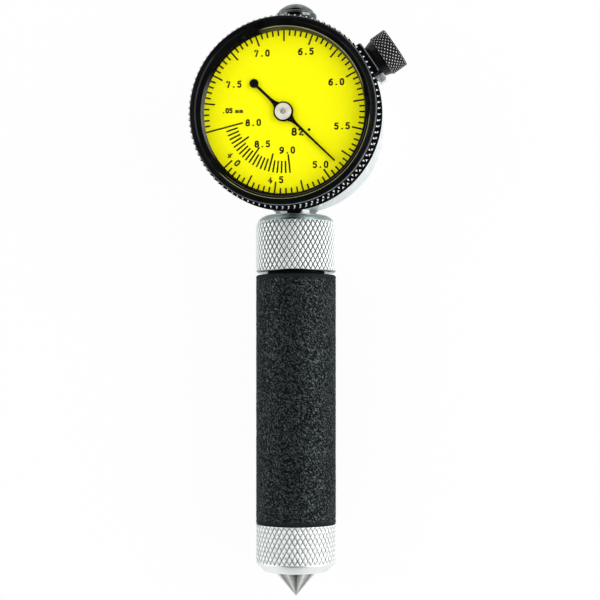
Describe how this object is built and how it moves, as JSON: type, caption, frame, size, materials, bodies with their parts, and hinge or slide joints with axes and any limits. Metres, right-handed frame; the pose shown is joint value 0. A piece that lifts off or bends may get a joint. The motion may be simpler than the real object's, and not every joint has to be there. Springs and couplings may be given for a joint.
{
  "type": "countersink gauge",
  "caption": "Dial gauge for countersink diameters: a sprung cone in a barrel's anvil turns a pointer over a dial in a turning bezel.",
  "frame": {"origin": "centre of the anvil's face, on the plunger's axis", "axes": "+Y along the barrel towards the dial head, the cone points to -Y, +Z out of the dial; the gauge lies on its flat back"},
  "size_m": [0.0476, 0.1371, 0.0288],
  "materials": {
    "ground_steel": "ground bright steel",
    "spring_steel": "drawn spring wire",
    "knurled_steel": "satin chrome with a fine diamond knurl",
    "black_texture": "black, fine granular texture",
    "bronze": "turned brass",
    "bright_steel": "polished",
    "satin_case": "pale satin chrome",
    "black_gloss": "black gloss enamel",
    "clear_crystal": "clear",
    "yellow_dial": "bright yellow, satin",
    "black_paint": "black satin",
    "hub_silver": "turned, warm silver",
    "plated_steel": "zinc plated",
    "black_knurl": "black oxide with a diamond knurl"
  },
  "bodies": {
    "barrel": {"barrel": "black_texture", "anvil": "knurled_steel", "rod_bush": "bronze", "collet": "ground_steel"},
    "collar": {"clamp_collar": "knurled_steel"},
    "head": {"stem": "bright_steel", "case": "satin_case", "case_back": "satin_case", "back_screws": "ground_steel", "upper_bush": "bronze", "stem_cap": "black_gloss", "bezel_spring": "spring_steel", "lower_bridge": "bronze", "rear_plate": "bronze", "front_plate": "bronze", "posts": "bronze", "plate_screws": "ground_steel", "centre_bush": "bronze", "hairspring": "spring_steel", "hairspring_stud": "bronze", "clamp_clip": "black_paint", "clamp_shoe": "plated_steel", "return_spring": "spring_steel"},
    "plunger": {"contact_point": "ground_steel", "plunger_rod": "ground_steel", "rack_spindle": "ground_steel", "guide_pin": "ground_steel"},
    "first_arbor": {"rack_arbor": "ground_steel", "rack_wheel": "bronze"},
    "pointer_arbor": {"centre_arbor": "ground_steel", "pointer": "black_paint", "pointer_hub": "hub_silver"},
    "takeup": {"takeup_arbor": "ground_steel", "takeup_wheel": "bronze"},
    "bezel": {"bezel": "black_gloss", "crystal": "clear_crystal", "crystal_ring": "black_gloss", "dial_plate": "yellow_dial", "dial_retainer": "bronze"},
    "clamp_screw": {"clamp_screw": "black_knurl"}
  },
  "joints": [
    {"name": "head_swivel", "type": "hinge", "parent": "barrel", "child": "head", "pos_m": [0, 0.07, 0], "axis": [0, 1, 0], "continuous": true},
    {"name": "collar_turn", "type": "hinge", "parent": "barrel", "child": "collar", "pos_m": [0, 0.075, 0], "axis": [0, 1, 0], "range_deg": [0, 90]},
    {"name": "plunger_slide", "type": "slide", "parent": "head", "child": "plunger", "axis": [0, 1, 0], "range_m": [0, 0.00625], "stiffness_N_per_m": 60, "springref_m": -0.018, "deforming": ["return_spring"]},
    {"name": "first_arbor_spin", "type": "hinge", "parent": "head", "child": "first_arbor", "pos_m": [-0.00334, 0.09632, 0.0074], "axis": [0, 0, 1], "range_deg": [-2, 227]},
    {"name": "pointer_spin", "type": "hinge", "parent": "head", "child": "pointer_arbor", "pos_m": [0, 0.1037, 0.0165], "axis": [0, 0, 1], "range_deg": [-908, 8]},
    {"name": "takeup_spin", "type": "hinge", "parent": "head", "child": "takeup", "pos_m": [0.00699, 0.1078, 0.0074], "axis": [0, 0, 1], "range_deg": [-2, 227]},
    {"name": "bezel_turn", "type": "hinge", "parent": "head", "child": "bezel", "pos_m": [0, 0.1037, 0.0165], "axis": [0, 0, 1], "continuous": true},
    {"name": "clamp_screw_turn", "type": "hinge", "parent": "head", "child": "clamp_screw", "pos_m": [0.02205, 0.11857, 0.0054], "axis": [0.829, 0.5592, 0], "range_deg": [0, 180]}
  ],
  "couplings": [
    {"joint": "first_arbor_spin", "follows": "plunger_slide", "rad_per_m": 628.32},
    {"joint": "pointer_spin", "follows": "plunger_slide", "rad_per_m": -2513.3},
    {"joint": "takeup_spin", "follows": "plunger_slide", "rad_per_m": 628.32}
  ]
}
